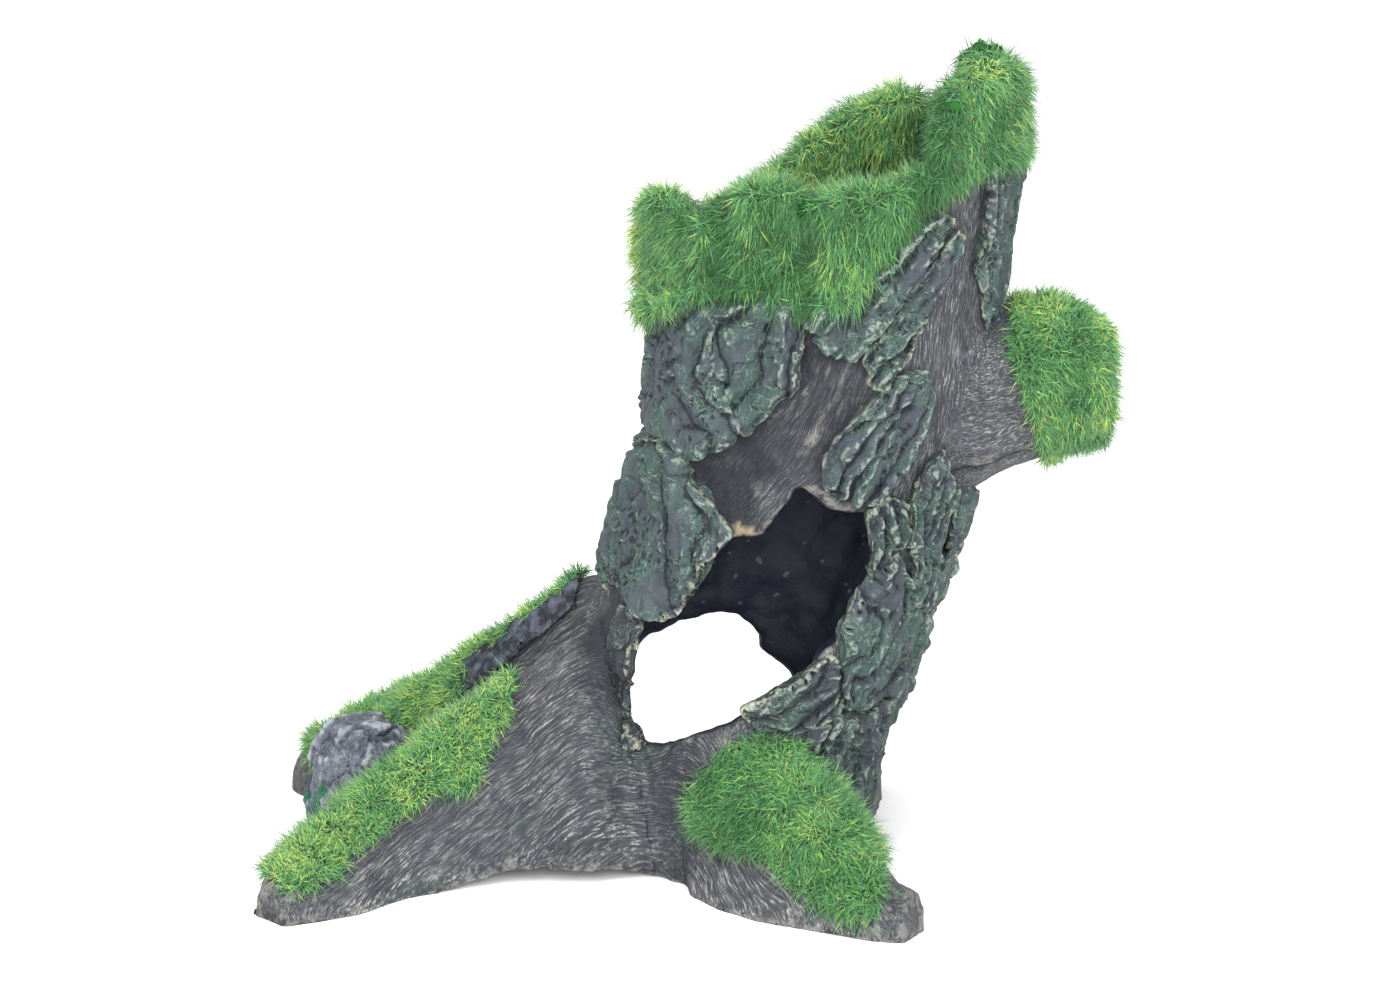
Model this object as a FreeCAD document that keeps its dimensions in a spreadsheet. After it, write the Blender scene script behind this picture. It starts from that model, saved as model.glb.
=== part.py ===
import FreeCAD, Part
import math
import os
import Sketcher

# Hollow tree-stump cave ornament in cast resin: a leaning trunk with two doors and a crown basin,
# four roots, a branch stub, bark slabs, one stone and mats of moss. Millimetres, +Z up, front is -Y.

doc = FreeCAD.newDocument("cave_ornament")
sheet = doc.addObject("Spreadsheet::Sheet", "Sizes")
row_count = 0

# Driving sizes, one cell each.
SIZES = {
    "wall": 5.0,              # trunk wall
    "slab": 3.2,              # bark slab, how far it stands off the wood
    "thin_slab": 2.2,
    "moss": 4.2,              # depth of a crown moss mat
    "pad": 3.0,               # depth of a moss pad on a root or branch
    "split": 8.0,             # Y of the plane that halves the trunk
    "reach": 90.0,            # how far an outline is swept to pass the whole trunk
    "front_jamb": -13.0,      # left side and sill of the space kept free before the front door
    "front_sill": 33.0,
    "back_jamb": -15.5,       # left side, width and sill of the space behind the rear door
    "back_door": 42.5,
    "back_sill": 14.0,
    "centre_x": -0.75,        # middle of the whole ornament, where its origin goes
    "centre_y": 6.15,
}

# Trunk stations from ground to spire: height, centre and half width across, half depth.
TRUNK = [
    (0, 9.5, 24.0, 24.0),
    (25, 10.7, 29.2, 25.5),
    (50, 13.7, 35.0, 26.5),
    (75, 20.5, 37.2, 26.5),
    (100, 27.0, 36.0, 26.5),
    (131, 30.3, 37.2, 27.0),
    (136, 30.5, 37.4, 27.2),
    (162, 31.5, 39.5, 28.0),
    (192, 32.0, 40.0, 29.0),
]
CEILING = 5                   # station of the cave's ceiling
BASIN_FLOOR = 6               # station of the crown basin's floor

# Root stations from inside the trunk to the tip: place, half width and top.
ROOTS = {
    "root_front_left": [
        (0, 5, 11, 56), (-23, 2, 16.5, 57.5), (-40, 0, 14, 43), (-53, -5, 12.5, 35),
        (-66, -12, 11, 26), (-78, -21, 10.5, 17.5), (-86, -27.5, 8.5, 12.5), (-91.5, -33, 5.5, 8)],
    "root_back_left": [
        (2, 12, 10, 60), (-20, 24, 14.5, 64), (-39, 32, 12.5, 47.5), (-58, 39, 11.5, 31.5),
        (-70, 44, 11, 24.5), (-81, 49.5, 10, 17.5), (-88.5, 53.5, 8, 12), (-93, 56, 5, 7)],
    "root_front_right": [
        (7, 2, 11, 33), (14, -12, 16.5, 36.5), (24, -24, 13.5, 31), (32, -30, 11, 23),
        (38, -35, 9, 16), (43.5, -39.5, 7.5, 11), (48.5, -42.5, 5, 9)],
    "root_back_right": [
        (24, 8, 9, 40), (29, 26, 12.5, 33), (34, 38, 10.5, 21), (38, 48, 8, 13),
        (41, 55, 5, 8)],
}

# Branch stations from inside the trunk to the broken end: place, half height and half width.
BRANCH = [
    (44, 8, 103, 23, 18), (62, 8, 106, 20, 16.5), (70, 8, 108.8, 17.6, 15), (80, 8, 112, 16.3, 13.2),
    (87, 8, 111, 14, 11.6), (91, 8, 109.5, 11, 9.2)]

# Stone courses: height, circumscribed radius and turn in degrees.
STONE = [(0, 14.5, 8), (9, 14, 14), (19, 12, 20), (26, 7.5, 30)]
STONE_PLACE = (-75.5, 25.0)
STONE_SIDES = 7

# Facets round the trunk, over a root and round the branch.
TRUNK_SIDES = 22
ROOT_SIDES = 9
BRANCH_SIDES = 14

# Outlines drawn in the upright X-Z plane and swept along Y.
DOOR_FRONT = [
    (-10, 31.2), (-13.8, 37.7), (-14.2, 45.8), (-12.8, 53.1), (-11, 59.1), (-5.9, 61.6),
    (-0.6, 66.9), (3.1, 73.2), (6.3, 78.5), (9.8, 80.8), (16.2, 81.6), (20.5, 87.5), (24.4, 92.9),
    (30.2, 87.3), (40.1, 85.1), (42.4, 76.7), (37.5, 66.9), (31.6, 57.1), (25.1, 49.5),
    (17.5, 45.1), (12, 40.9), (2.2, 36.4), (-5.5, 31.8)]
DOOR_BACK = [
    (-15.5, 14), (-16, 36), (-12, 44.5), (-2.4, 48.9), (10.3, 50.1), (14.9, 47.2), (16.5, 41.2),
    (23, 37.5), (27, 30), (24, 14), (8, 11)]
RIM_TOP = [(90, 205), (-30, 205)]
RIM_FRONT = [
    (-30, 149), (-9, 149), (-5, 151), (-1, 149), (3, 147), (7, 150.5), (13, 154.5), (23, 154.3),
    (29.5, 152.6), (36, 155.6), (47.5, 155), (50.7, 158.5), (53, 171), (56, 178), (62, 183.7),
    (68, 180), (72, 172), (90, 169)] + RIM_TOP
RIM_BACK = [
    (-30, 147), (-5, 146), (1, 140.5), (8, 141.5), (15, 146), (25, 156), (35, 164), (45, 167),
    (51, 168), (56, 178), (62, 183.7), (68, 180), (72, 172), (90, 169)] + RIM_TOP

# Shallow hollow under the front between two roots.
FRONT_ARCH = [
    (-60, -5), (-60, 0), (-49, 2.2), (-38, 3.4), (-27, 3.6), (-16, 2.8), (-6, 1.2), (-1, 0),
    (-1, -5)]

# Side profile of the spire in the Y-Z plane, cut from the right end of the rim.
SPIRE_EDGE = 52
SPIRE_SIDE = [
    (-60, 165), (-24, 166), (-18, 172), (-11, 179), (-4, 183), (6, 183.7), (12, 180), (18, 174),
    (26, 167), (34, 163.5), (60, 162), (60, 210), (-60, 210)]

# Bark slabs: which half of the trunk, which stock they are cut from, and their outline.
BARK = {
    "bark_crown_left": ("front", "slab", [
        (-16, 127), (-2, 133.5), (3.6, 131), (3.3, 122), (6.9, 114.8), (9.7, 105.3), (7.2, 101.7),
        (2.8, 99.9), (0, 97.6), (-4.3, 100.4), (-16, 101.5)]),
    "bark_crown_centre": ("front", "slab", [
        (4.6, 131), (15, 134.5), (23, 132), (23.1, 116.4), (19.1, 112.3), (11.6, 104.4),
        (9.2, 111.8), (5, 120.1)]),
    "bark_door_left": ("front", "slab", [
        (-7.7, 98.1), (-3.9, 99.2), (-0.6, 93.2), (4.8, 86.9), (8.7, 81.9), (6.3, 79.1),
        (3.1, 73.8), (-0.6, 67.5), (-5.9, 62.3), (-10.9, 62.5), (-14.3, 64.5), (-28, 66),
        (-26, 82), (-20, 95)]),
    "bark_door_post": ("front", "thin_slab", [
        (-11.5, 60), (-17, 62), (-19, 50), (-19, 40), (-16, 31), (-10.8, 32), (-14.3, 38),
        (-14.8, 46), (-13.3, 53)]),
    "bark_centre_upper": ("front", "slab", [
        (25.5, 129), (27, 134), (36.1, 137), (44.6, 145), (50.9, 152.5), (56, 150), (51, 142.3),
        (44.7, 134.5), (37.5, 123.9), (34.1, 122.2), (28.8, 123.6)]),
    "bark_centre_ridge": ("front", "thin_slab", [
        (38.4, 120.5), (44.7, 130.1), (51.1, 139.5), (57.5, 148), (59, 144), (52.3, 131.6),
        (46, 121.2), (42.8, 115), (39.6, 116)]),
    "bark_centre_lower": ("front", "slab", [
        (46, 117.3), (52, 116), (52.7, 111.5), (48.5, 98.4), (46.4, 94.2), (39.9, 89.1),
        (33.4, 90.2), (30.1, 92.5), (29.7, 97.9), (32.6, 104.1), (38.1, 110.1), (41.7, 113.9)]),
    "bark_right_narrow": ("front", "slab", [
        (55.3, 97.5), (51.3, 94), (49.4, 87.3), (49, 78.4), (50, 63.1), (52.6, 60.4),
        (55.9, 78.7), (56.9, 88.5)]),
    "bark_right_outer": ("front", "thin_slab", [
        (58.6, 88.5), (68, 84), (68, 66), (58.4, 63.4), (54.3, 60.5), (54.2, 63), (56.9, 78),
        (57.8, 85)]),
    "bark_door_upper_right": ("front", "thin_slab", [
        (39.7, 86.2), (43.2, 88.8), (48.3, 86.5), (48, 78.9), (44.8, 78.2), (41.2, 74.7),
        (39.1, 72), (40, 76.7)]),
    "bark_door_right": ("front", "slab", [
        (44.4, 76.6), (49, 69.2), (49.3, 62), (53, 58.8), (62, 62), (62, 44), (50.8, 43.2),
        (44.6, 41.9), (39.2, 39.9), (35.3, 41.5), (33.9, 48.4), (33.7, 59.4), (36.3, 66.6),
        (41.8, 73.7)]),
    "bark_sill_right": ("front", "thin_slab", [
        (12, 41.3), (15.9, 44.1), (24.2, 49.2), (31.2, 53.6), (32.9, 47), (34, 41.2), (30, 39),
        (21.9, 37.4), (15.3, 37.8)]),
    "bark_foot_right": ("front", "slab", [
        (27, 36), (31.3, 38.5), (39, 38.9), (44.6, 40.8), (60, 43), (60, 3), (44, 1), (35, 4),
        (30, 16)]),
    "bark_spire_right": ("front", "thin_slab", [
        (64.4, 161), (82, 162), (82, 138), (69, 128.5), (65.6, 122), (63.2, 138.3),
        (64.2, 152.3)]),
    "bark_back_upper": ("back", "slab", [
        (38, 148), (52, 145), (57, 122), (47, 104), (34, 112), (31, 134)]),
    "bark_back_middle": ("back", "thin_slab", [
        (9, 127), (24, 132), (29, 106), (21, 84), (8, 90), (3, 112)]),
    "bark_back_left": ("back", "slab", [
        (-30, 92), (-7, 99), (1, 78), (-3, 58), (-14, 60), (-30, 66)]),
    "bark_back_right": ("back", "slab", [
        (44, 88), (59, 84), (70, 66), (66, 40), (47, 36), (39, 62)]),
}

# Moss mats on the crown: which half, and outline.
MOSS = {
    "moss_crown_left": ("front", [
        (-24, 126), (-9, 125.5), (0, 131), (5, 134), (5, 152), (2.4, 151.5), (-2, 154),
        (-6, 155.4), (-12, 153), (-24, 152)]),
    "moss_crown_front": ("front", [
        (5, 134), (10.7, 135.8), (21.3, 131.7), (29.8, 131), (38.3, 136.1), (44.6, 143.9),
        (49.9, 150.1), (52, 155.3), (52, 166), (50, 162.4), (42.2, 159.6), (35.8, 160.4),
        (29.5, 157.4), (23.2, 159), (12.7, 159.2), (7, 156), (5, 152)]),
    "moss_crown_back": ("back", [
        (-24, 127), (-24, 151), (-5, 150.5), (1.5, 144.6), (8, 146), (15, 150.5), (25, 160.5),
        (35, 168.5), (45, 171.5), (52, 172.8), (52, 142), (34, 139), (18, 133), (4, 134)]),
    "moss_spire": ("both", [
        (52, 155.3), (60.8, 158.6), (66.6, 160.6), (90, 159.7), (90, 172), (76.5, 174),
        (73, 181), (68.5, 185), (62, 187.9), (56.4, 184), (53.4, 177), (52, 170)]),
}

# Moss pads on a root or the branch: the limb they lie on, and outline.
PADS = {
    "moss_root_front_left": ("root_front_left", [
        (-38, 52), (-39.5, 38), (-43, 34), (-46.5, 22.5), (-56, 23), (-66, 17), (-77, 9.5),
        (-86, 5), (-92.5, 6), (-94, 22), (-70, 40)]),
    "moss_root_back_left": ("root_back_left", [
        (-24, 72), (-25, 56), (-40, 40), (-58, 26), (-70, 18), (-82, 12), (-90, 9), (-94, 20),
        (-70, 44)]),
    "moss_root_front_right": ("root_front_right", [
        (-2, 44), (-5, 30), (-2, 19), (5, 13), (17, 14), (25, 7), (36, 2.5), (41, 4), (42, 12.5),
        (36.5, 20.5), (31, 30), (27, 44)]),
    "moss_branch": ("branch_stub", [
        (70, 140), (70, 117), (73, 109), (76, 100), (79, 88), (110, 88), (110, 140)]),
}


def store(alias, value):
    """Put one driving size in the sheet under a word."""
    global row_count
    row_count += 1
    cell = "A%d" % row_count
    sheet.set(cell, str(value))
    sheet.setAlias(cell, alias)


def store_table(name, stations, columns):
    """Put a limb's stations in the sheet, one cell a value."""
    for number, station in enumerate(stations):
        for column, value in zip(columns, station):
            store("%s_%s_%d" % (name, column, number), value)


def bind(item, **links):
    """Bind properties to sheet cells; two underscores stand for a dot."""
    for path, expression in links.items():
        item.setExpression(path.replace("__", "."), expression)


def faceted(name, rings):
    """Closed solid with flat facets through equal rings of points, set on the ornament's origin."""
    faces = [
        Part.Face(Part.makePolygon(rings[0] + rings[0][:1])),
        Part.Face(Part.makePolygon(rings[-1] + rings[-1][:1]))]
    for lower, upper in zip(rings, rings[1:]):
        for side in range(len(lower)):
            after = (side + 1) % len(lower)
            for corners in ((lower[side], lower[after], upper[after]),
                            (lower[side], upper[after], upper[side])):
                faces.append(Part.Face(Part.makePolygon([*corners, corners[0]])))
    shell = Part.makeShell(faces)
    shell.sewShape()
    solid = Part.makeSolid(shell)
    if solid.Volume < 0:
        solid.reverse()
    body = doc.addObject("Part::Feature", name)
    body.Shape = solid
    body.Placement.Base = FreeCAD.Vector(-sheet.centre_x, -sheet.centre_y, 0)
    return body


def cut(name, base, tools):
    """Base with every tool taken away, one after another."""
    for number, tool in enumerate(tools):
        last = number == len(tools) - 1
        step = doc.addObject("Part::Cut", name if last else "%s_step_%d" % (name, number))
        step.Base = base
        step.Tool = tool
        base = step
    return base


def common(name, base, tool):
    """What two solids share."""
    shared = doc.addObject("Part::Common", name)
    shared.Base = base
    shared.Tool = tool
    return shared


def outline(name, points):
    """Closed sketch of straight sides."""
    sketch = doc.addObject("Sketcher::SketchObject", name + "_outline")
    ends = points[1:] + points[:1]
    sketch.addGeometry([
        Part.LineSegment(FreeCAD.Vector(*start, 0), FreeCAD.Vector(*end, 0))
        for start, end in zip(points, ends)], False)
    sketch.addConstraint([
        Sketcher.Constraint("Coincident", side, 2, (side + 1) % len(points), 1)
        for side in range(len(points))])
    return sketch


def prism(name, points, half):
    """Outline in the X-Z plane swept through the front half, the back half or both."""
    sketch = outline(name, points)
    sketch.Placement.Rotation = FreeCAD.Rotation(FreeCAD.Vector(1, 0, 0), 90)
    bind(sketch, Placement__Base__x="-Sizes.centre_x",
         Placement__Base__y="Sizes.split - Sizes.centre_y")
    sweep = doc.addObject("Part::Extrusion", name + "_prism")
    sweep.Base = sketch
    sweep.DirMode = "Custom"
    sweep.Dir = FreeCAD.Vector(0, -1 if half == "front" else 1, 0)
    sweep.Solid = True
    bind(sweep, LengthFwd="Sizes.reach")
    if half == "both":
        bind(sweep, LengthRev="Sizes.reach")
    return sweep


def side_prism(name, points, lift):
    """Outline in the Y-Z plane, lifted and swept to the right of the spire's left edge."""
    sketch = outline(name, points)
    sketch.Placement.Rotation = FreeCAD.Rotation(
        FreeCAD.Vector(0, 1, 0), FreeCAD.Vector(0, 0, 1), FreeCAD.Vector(1, 0, 0), "XYZ")
    bind(sketch, Placement__Base__x="Sizes.spire_edge - Sizes.centre_x",
         Placement__Base__y="-Sizes.centre_y", Placement__Base__z=lift)
    sweep = doc.addObject("Part::Extrusion", name + "_prism")
    sweep.Base = sketch
    sweep.DirMode = "Custom"
    sweep.Dir = FreeCAD.Vector(1, 0, 0)
    sweep.Solid = True
    bind(sweep, LengthFwd="Sizes.reach")
    return sweep


def trunk_body(name, first, last, offset):
    """Trunk solid between two stations, its half widths grown or shrunk."""
    rings = []
    for number in range(first, last + 1):
        height = sheet.get("trunk_height_%d" % number)
        across = sheet.get("trunk_across_%d" % number)
        wide = sheet.get("trunk_wide_%d" % number) + offset
        deep = sheet.get("trunk_deep_%d" % number) + offset
        turns = [2 * math.pi * (side + 0.5) / TRUNK_SIDES for side in range(TRUNK_SIDES)]
        rings.append([
            FreeCAD.Vector(across + wide * math.cos(turn), sheet.split + deep * math.sin(turn),
                           height)
            for turn in turns])
    return faceted(name, rings)


def heading(stations, number):
    """Direction of a limb at one station, in plan."""
    before = stations[max(number - 1, 0)]
    after = stations[min(number + 1, len(stations) - 1)]
    return math.atan2(after[1] - before[1], after[0] - before[0])


def root_body(name, root, offset):
    """Root solid with a flat underside, its ridge and flanks grown by the offset."""
    rings = []
    for number in range(len(ROOTS[root])):
        across, back, wide, top = [
            sheet.get("%s_%s_%d" % (root, word, number))
            for word in ("across", "back", "wide", "top")]
        way = heading(ROOTS[root], number)
        ring = []
        for side in range(ROOT_SIDES + 1):
            turn = math.pi * side / ROOT_SIDES
            out = (wide + offset) * math.cos(turn)
            ring.append(FreeCAD.Vector(across - out * math.sin(way), back + out * math.cos(way),
                                       (top + offset) * math.sin(turn)))
        rings.append(ring)
    return faceted(name, rings)


def branch_body(name, offset):
    """Branch solid from inside the trunk to its broken end."""
    rings = []
    for number in range(len(BRANCH)):
        across, back, height, tall, wide = [
            sheet.get("branch_%s_%d" % (word, number))
            for word in ("across", "back", "height", "tall", "wide")]
        if number == len(BRANCH) - 1:
            across += offset
        turns = [2 * math.pi * (side + 0.5) / BRANCH_SIDES for side in range(BRANCH_SIDES)]
        rings.append([
            FreeCAD.Vector(across, back + (wide + offset) * math.cos(turn),
                           height + (tall + offset) * math.sin(turn))
            for turn in turns])
    return faceted(name, rings)


def stone_body(name):
    """Angular stone from a stack of turned polygons."""
    rings = []
    for number, (_, _, turn) in enumerate(STONE):
        height = sheet.get("stone_height_%d" % number)
        radius = sheet.get("stone_radius_%d" % number)
        turns = [math.radians(turn + 360 * side / STONE_SIDES) for side in range(STONE_SIDES)]
        rings.append([
            FreeCAD.Vector(sheet.stone_across + radius * math.cos(angle),
                           sheet.stone_back + radius * math.sin(angle), height)
            for angle in turns])
    return faceted(name, rings)


def block(name, length, width, height, place):
    """Box whose sides and corner follow the sheet."""
    solid = doc.addObject("Part::Box", name)
    bind(solid, Length=length, Width=width, Height=height,
         Placement__Base__x=place[0] + " - Sizes.centre_x",
         Placement__Base__y=place[1] + " - Sizes.centre_y", Placement__Base__z=place[2])
    return solid


for word, size in SIZES.items():
    store(word, size)
store_table("trunk", TRUNK, ("height", "across", "wide", "deep"))
for root_name, root_stations in ROOTS.items():
    store_table(root_name, root_stations, ("across", "back", "wide", "top"))
store_table("branch", BRANCH, ("across", "back", "height", "tall", "wide"))
store_table("stone", STONE, ("height", "radius"))
store("spire_edge", SPIRE_EDGE)
store("stone_across", STONE_PLACE[0])
store("stone_back", STONE_PLACE[1])
doc.recompute()

nodes = {}
front_space = block("front_door_space", "Sizes.reach", "2 * Sizes.reach", "Sizes.reach",
                    ("Sizes.front_jamb", "Sizes.split - 1.8 * Sizes.reach", "Sizes.front_sill"))
back_space = block("back_door_space", "Sizes.back_door", "2 * Sizes.reach", "Sizes.reach",
                   ("Sizes.back_jamb", "Sizes.split - 0.2 * Sizes.reach", "Sizes.back_sill"))
arch = prism("front_arch", FRONT_ARCH, "front")
top_station = len(TRUNK) - 1
trunk_solid = trunk_body("trunk_solid", 0, top_station, 0)
cave = trunk_body("cave", 0, CEILING, -sheet.wall)
basin = trunk_body("basin", BASIN_FLOOR, top_station, -sheet.wall)
door_front = prism("door_front", DOOR_FRONT, "front")
door_back = prism("door_back", DOOR_BACK, "back")
rim_front = prism("rim_front", RIM_FRONT, "front")
rim_back = prism("rim_back", RIM_BACK, "back")
nodes["trunk_shell"] = cut("trunk_shell", trunk_solid, [
    cave, basin, door_front, door_back, rim_front, rim_back,
    side_prism("rim_side", SPIRE_SIDE, "0"), arch])

# Limbs butt against the trunk and against the limb made before them.
limbs = {root: root_body(root + "_limb", root, 0) for root in ROOTS}
limbs["branch_stub"] = branch_body("branch_limb", 0)
nodes["root_front_left"] = cut("root_front_left", limbs["root_front_left"], [
    front_space, arch, trunk_solid])
nodes["root_back_left"] = cut("root_back_left", limbs["root_back_left"], [
    back_space, limbs["root_front_left"], trunk_solid])
nodes["root_front_right"] = cut("root_front_right", limbs["root_front_right"], [
    front_space, limbs["root_front_left"], trunk_solid])
nodes["root_back_right"] = cut("root_back_right", limbs["root_back_right"], [
    back_space, trunk_solid])
nodes["branch_stub"] = cut("branch_stub", limbs["branch_stub"], [trunk_solid])
nodes["root_stone"] = cut("root_stone", stone_body("stone_solid"), [
    limbs["root_front_left"], limbs["root_back_left"]])

# Bark slabs are cut from a skin that follows the trunk.
skins = {}
for depth in ("slab", "thin_slab"):
    skins[depth] = cut(depth + "_skin", trunk_body(depth + "_solid", 0, top_station,
                                                   sheet.get(depth)), [trunk_solid])
for bark, (half, depth, points) in BARK.items():
    piece = common(bark + "_piece", skins[depth], prism(bark, points, half))
    nodes[bark] = cut(bark, piece, list(limbs.values()))

# Crown moss caps the rim inside and out.
moss_solid = trunk_body("moss_solid", CEILING - 1, top_station, sheet.moss)
moss_hollow = trunk_body("moss_hollow", BASIN_FLOOR, top_station, -sheet.wall - sheet.moss)
crown_bark = [nodes[bark] for bark in (
    "bark_crown_left", "bark_crown_centre", "bark_centre_upper", "bark_centre_ridge",
    "bark_spire_right", "bark_back_upper")]
moss_stock = cut("moss_stock", moss_solid, [moss_hollow, cave, nodes["trunk_shell"]] + crown_bark)
for mat, (half, points) in MOSS.items():
    whole = mat != "moss_spire"
    piece = common(mat if whole else mat + "_piece", moss_stock, prism(mat, points, half))
    nodes[mat] = piece if whole else cut(mat, piece, [
        side_prism("moss_side", SPIRE_SIDE, "Sizes.moss")])

# Moss pads lie on the roots and wrap the end of the branch.
pad_clear = {
    "moss_root_front_left": [],
    "moss_root_back_left": ["root_stone"],
    "moss_root_front_right": ["root_front_left", "bark_foot_right", "bark_sill_right"],
    "moss_branch": [],
}
for pad, (limb, points) in PADS.items():
    if limb == "branch_stub":
        thick = branch_body(pad + "_solid", sheet.pad)
    else:
        thick = root_body(pad + "_solid", limb, sheet.pad)
    piece = common(pad + "_piece", thick, prism(pad, points, "both"))
    tools = [limbs[limb], trunk_solid] + [nodes[name] for name in pad_clear[pad]]
    nodes[pad] = cut(pad, piece, tools)

for node, item in nodes.items():
    item.Label = node
doc.recompute()

# Everything has to be sound before anything is written.
for item in doc.Objects:
    if "Invalid" in item.State or "Error" in item.State:
        raise RuntimeError("failed object: " + item.Label)
os.makedirs("parts", exist_ok=True)
for node, item in nodes.items():
    if item.Shape.isNull() or not item.Shape.isValid() or not item.Shape.Solids:
        raise RuntimeError("bad shape: " + node)
for node, item in nodes.items():
    item.Shape.exportStep("parts/%s.step" % node)
    box = item.Shape.BoundBox
    print("%-24s solids %d volume %9.1f  X %6.1f %6.1f  Y %6.1f %6.1f  Z %6.1f %6.1f" % (
        node, len(item.Shape.Solids), item.Shape.Volume, box.XMin, box.XMax, box.YMin, box.YMax,
        box.ZMin, box.ZMax))
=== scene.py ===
import math

import bpy
import numpy as np
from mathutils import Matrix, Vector
from mathutils.bvhtree import BVHTree


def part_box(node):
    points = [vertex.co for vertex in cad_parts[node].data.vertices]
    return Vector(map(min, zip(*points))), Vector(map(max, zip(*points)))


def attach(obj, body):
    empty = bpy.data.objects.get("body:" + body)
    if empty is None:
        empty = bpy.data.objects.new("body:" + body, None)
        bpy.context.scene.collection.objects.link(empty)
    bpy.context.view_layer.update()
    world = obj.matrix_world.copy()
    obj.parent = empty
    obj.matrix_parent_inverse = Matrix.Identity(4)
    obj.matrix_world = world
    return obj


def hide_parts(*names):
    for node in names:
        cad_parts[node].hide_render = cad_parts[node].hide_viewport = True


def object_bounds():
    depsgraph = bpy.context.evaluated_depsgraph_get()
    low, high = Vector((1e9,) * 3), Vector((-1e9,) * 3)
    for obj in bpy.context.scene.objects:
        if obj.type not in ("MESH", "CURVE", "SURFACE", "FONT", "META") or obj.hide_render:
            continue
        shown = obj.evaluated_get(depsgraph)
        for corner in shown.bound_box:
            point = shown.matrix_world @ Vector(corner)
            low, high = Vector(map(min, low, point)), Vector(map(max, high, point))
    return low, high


# Resin tree-stump cave ornament. Shapes are worked out in millimetres and written in metres.
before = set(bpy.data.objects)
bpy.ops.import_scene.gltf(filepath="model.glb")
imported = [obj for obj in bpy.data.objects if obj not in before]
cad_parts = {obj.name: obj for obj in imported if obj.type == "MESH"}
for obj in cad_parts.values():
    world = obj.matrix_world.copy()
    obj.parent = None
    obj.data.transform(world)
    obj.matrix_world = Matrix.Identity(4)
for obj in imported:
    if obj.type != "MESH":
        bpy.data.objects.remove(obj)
cad_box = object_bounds()
MM = 0.001
BODY = "root"

WOOD_NODES = ["trunk_shell", "branch_stub", "root_front_left", "root_back_left",
              "root_front_right", "root_back_right"]
WOOD_VOXEL = 0.9
BARK_VOXEL = 0.42
STONE_VOXEL = 0.6
MAT_VOXEL = 1.2          # remesh steps
CEILING = 131.0          # height of the cave's ceiling
BASIN_FLOOR = 136.0      # floor of the hollow crown


# ---------------------------------------------------------------- noise

def lattice(cell, seed):
    """Repeatable random value in -1..1 for each whole-number cell."""
    c = cell.astype(np.int64).astype(np.uint32)
    value = c[..., 0] * np.uint32(374761393) + c[..., 1] * np.uint32(668265263)
    value = value + c[..., 2] * np.uint32(2246822519) + np.uint32(seed * 3266489917 % 2 ** 32)
    value = (value ^ (value >> np.uint32(15))) * np.uint32(2246822519)
    value = (value ^ (value >> np.uint32(13))) * np.uint32(3266489917)
    value = value ^ (value >> np.uint32(16))
    return (value & np.uint32(0xFFFF)).astype(float) / 32767.5 - 1.0


def noise(points, seed):
    """Smooth value noise with features of about one unit."""
    base = np.floor(points)
    part = points - base
    part = part ** 3 * (part * (part * 6 - 15) + 10)
    total = np.zeros(len(points))
    for corner in np.ndindex(2, 2, 2):
        share = np.ones(len(points))
        for axis, side in enumerate(corner):
            share = share * (part[:, axis] if side else 1 - part[:, axis])
        total += share * lattice(base + corner, seed)
    return total


def layered(points, seed, octaves=3, gain=0.5):
    """Sum of finer and fainter noise."""
    total = np.zeros(len(points))
    weight, size, scale = 0.0, 1.0, 1.0
    for octave in range(octaves):
        total += size * noise(points * scale, seed + 17 * octave)
        weight += size
        size *= gain
        scale *= 2.03
    return total / weight


def warp(points, seed):
    """Noise vector at each point."""
    return np.stack([layered(points, seed + 101 * axis, 2) for axis in range(3)], axis=1)


def plates(points, seed):
    """Cracked plates: distance to the two nearest cell points, and the nearest cell's value."""
    base = np.floor(points)
    first = np.full(len(points), 9.0)
    second = np.full(len(points), 9.0)
    value = np.zeros(len(points))
    for corner in np.ndindex(3, 3, 3):
        cell = base + (np.array(corner) - 1)
        centre = cell + 0.5 + 0.42 * np.stack(
            [lattice(cell, seed + 31 * axis) for axis in range(3)], axis=1)
        far = np.linalg.norm(points - centre, axis=1)
        near = far < first
        second = np.where(near, first, np.minimum(second, far))
        value = np.where(near, lattice(cell, seed + 977), value)
        first = np.where(near, far, first)
    return first, second, value


def smoothstep(value, low, high):
    """0 at low, 1 at high, with level ends; low may be the greater."""
    part = np.clip((value - low) / (high - low), 0, 1)
    return part * part * (3 - 2 * part)


def ramps(value, pairs):
    """Product of smoothsteps, each from 0 at its first value to 1 at its second."""
    total = np.ones(len(value))
    for low, high in pairs:
        total = total * smoothstep(value, low, high)
    return total


# ---------------------------------------------------------------- meshes

def cad_arrays(names):
    """Points in millimetres and triangles of CAD nodes, with each triangle's node number."""
    points, triangles, owners, count = [], [], [], 0
    for number, name in enumerate(names):
        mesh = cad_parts[name].data
        mesh.calc_loop_triangles()
        flat = np.empty(len(mesh.vertices) * 3, np.float32)
        mesh.vertices.foreach_get("co", flat)
        tris = np.empty(len(mesh.loop_triangles) * 3, np.int32)
        mesh.loop_triangles.foreach_get("vertices", tris)
        points.append(flat.reshape(-1, 3) / MM)
        triangles.append(tris.reshape(-1, 3) + count)
        owners.append(np.full(len(tris) // 3, number))
        count += len(mesh.vertices)
    return np.concatenate(points).astype(float), np.concatenate(triangles), np.concatenate(owners)


def tree_of(points, faces):
    """Search tree of a mesh's faces."""
    return BVHTree.FromPolygons(points.tolist(), faces.tolist())


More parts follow.
